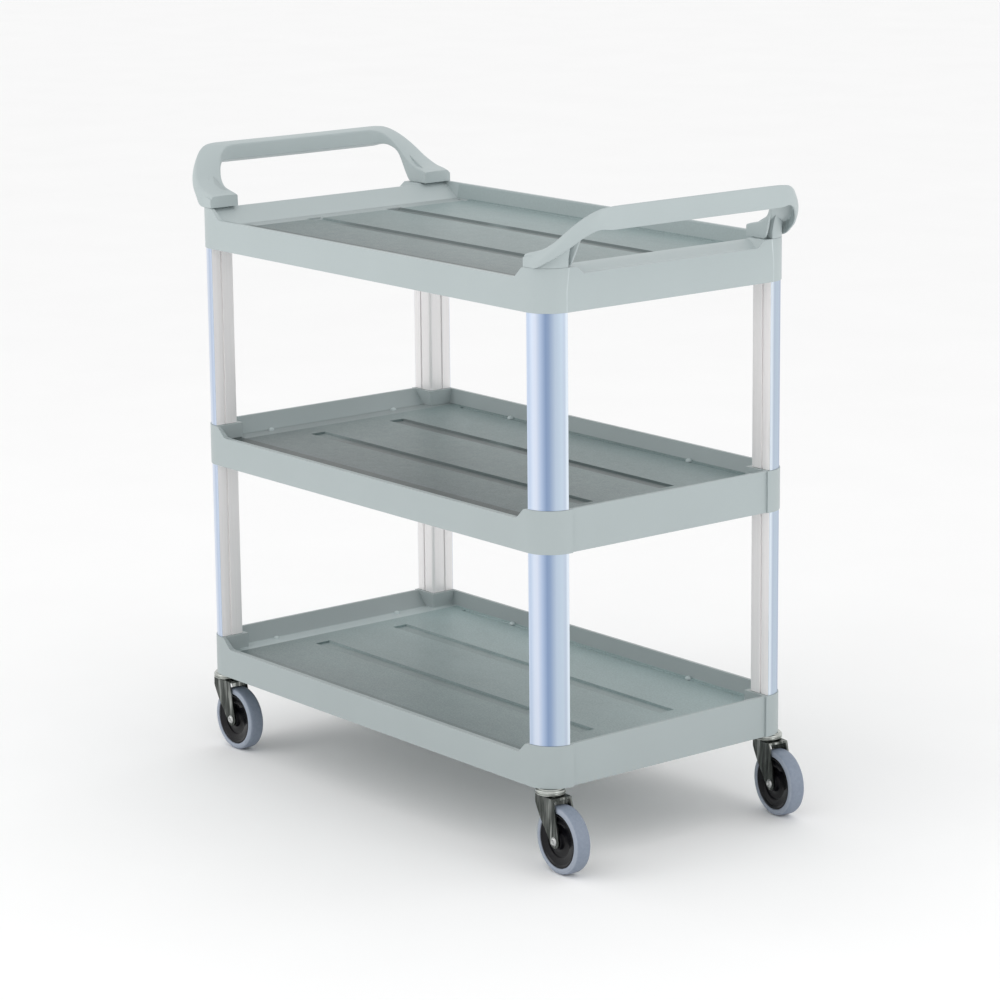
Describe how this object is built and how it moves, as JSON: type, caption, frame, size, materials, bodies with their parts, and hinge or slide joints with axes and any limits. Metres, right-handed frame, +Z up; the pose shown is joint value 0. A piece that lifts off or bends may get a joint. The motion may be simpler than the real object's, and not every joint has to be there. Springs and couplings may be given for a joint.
{
  "type": "food service trolley",
  "caption": "Moulded plastic shelf trolley with lipped trays on quarter-round aluminium uprights, bow handles at both ends and swivel casters.",
  "frame": {"origin": "on the floor under the middle of the trolley", "axes": "+X along the length to the front handle, +Y to the side with the full-height wall, +Z up; the -Y side has the cut-down lip"},
  "size_m": [0.9737, 0.472, 0.9609],
  "materials": {
    "plastic_grey": "light cool grey moulded plastic, semi-gloss",
    "aluminium": "satin anodised extrusion",
    "zinc_plate": "bright zinc plated pressed steel",
    "steel": "plated steel",
    "plastic_black": "glossy black moulded plastic",
    "tyre_grey": "matt non-marking grey-blue rubber"
  },
  "bodies": {
    "frame": {"shelf_bottom": "plastic_grey", "shelf_middle": "plastic_grey", "shelf_top": "plastic_grey", "handle_front": "plastic_grey", "handle_rear": "plastic_grey", "upright_lower_front_right": "aluminium", "upright_upper_front_right": "aluminium", "handle_screw_front_right": "steel", "caster_stem_front_right": "steel", "caster_race_front_right": "zinc_plate", "upright_lower_front_left": "aluminium", "upright_upper_front_left": "aluminium", "handle_screw_front_left": "steel", "caster_stem_front_left": "steel", "caster_race_front_left": "zinc_plate", "upright_lower_rear_right": "aluminium", "upright_upper_rear_right": "aluminium", "handle_screw_rear_right": "steel", "caster_stem_rear_right": "steel", "caster_race_rear_right": "zinc_plate", "upright_lower_rear_left": "aluminium", "upright_upper_rear_left": "aluminium", "handle_screw_rear_left": "steel", "caster_stem_rear_left": "steel", "caster_race_rear_left": "zinc_plate"},
    "caster_front_right": {"caster_fork_front_right": "zinc_plate", "axle_bolt_front_right": "steel", "axle_nut_front_right": "steel", "wheel_bush_front_right": "steel"},
    "wheel_front_right": {"wheel_core_front_right": "plastic_black", "wheel_tyre_front_right": "tyre_grey"},
    "caster_front_left": {"caster_fork_front_left": "zinc_plate", "axle_bolt_front_left": "steel", "axle_nut_front_left": "steel", "wheel_bush_front_left": "steel"},
    "wheel_front_left": {"wheel_core_front_left": "plastic_black", "wheel_tyre_front_left": "tyre_grey"},
    "caster_rear_right": {"caster_fork_rear_right": "zinc_plate", "axle_bolt_rear_right": "steel", "axle_nut_rear_right": "steel", "wheel_bush_rear_right": "steel"},
    "wheel_rear_right": {"wheel_core_rear_right": "plastic_black", "wheel_tyre_rear_right": "tyre_grey"},
    "caster_rear_left": {"caster_fork_rear_left": "zinc_plate", "axle_bolt_rear_left": "steel", "axle_nut_rear_left": "steel", "wheel_bush_rear_left": "steel"},
    "wheel_rear_left": {"wheel_core_rear_left": "plastic_black", "wheel_tyre_rear_left": "tyre_grey"}
  },
  "joints": [
    {"name": "swivel_front_right", "type": "hinge", "parent": "frame", "child": "caster_front_right", "pos_m": [0.4065, -0.212, 0.115], "axis": [0, 0, 1], "continuous": true},
    {"name": "roll_front_right", "type": "hinge", "parent": "caster_front_right", "child": "wheel_front_right", "pos_m": [0.43746, -0.21362, 0.05], "axis": [0.0523, 0.9986, 0], "continuous": true},
    {"name": "swivel_front_left", "type": "hinge", "parent": "frame", "child": "caster_front_left", "pos_m": [0.4065, 0.212, 0.115], "axis": [0, 0, 1], "continuous": true},
    {"name": "roll_front_left", "type": "hinge", "parent": "caster_front_left", "child": "wheel_front_left", "pos_m": [0.4372, 0.20769, 0.05], "axis": [0.1392, 0.9903, 0], "continuous": true},
    {"name": "swivel_rear_right", "type": "hinge", "parent": "frame", "child": "caster_rear_right", "pos_m": [-0.4065, -0.212, 0.115], "axis": [0, 0, 1], "continuous": true},
    {"name": "roll_rear_right", "type": "hinge", "parent": "caster_rear_right", "child": "wheel_rear_right", "pos_m": [-0.3755, -0.212, 0.05], "axis": [0, 1, 0], "continuous": true},
    {"name": "swivel_rear_left", "type": "hinge", "parent": "frame", "child": "caster_rear_left", "pos_m": [-0.4065, 0.212, 0.115], "axis": [0, 0, 1], "continuous": true},
    {"name": "roll_rear_left", "type": "hinge", "parent": "caster_rear_left", "child": "wheel_rear_left", "pos_m": [-0.3755, 0.212, 0.05], "axis": [0, 1, 0], "continuous": true}
  ]
}
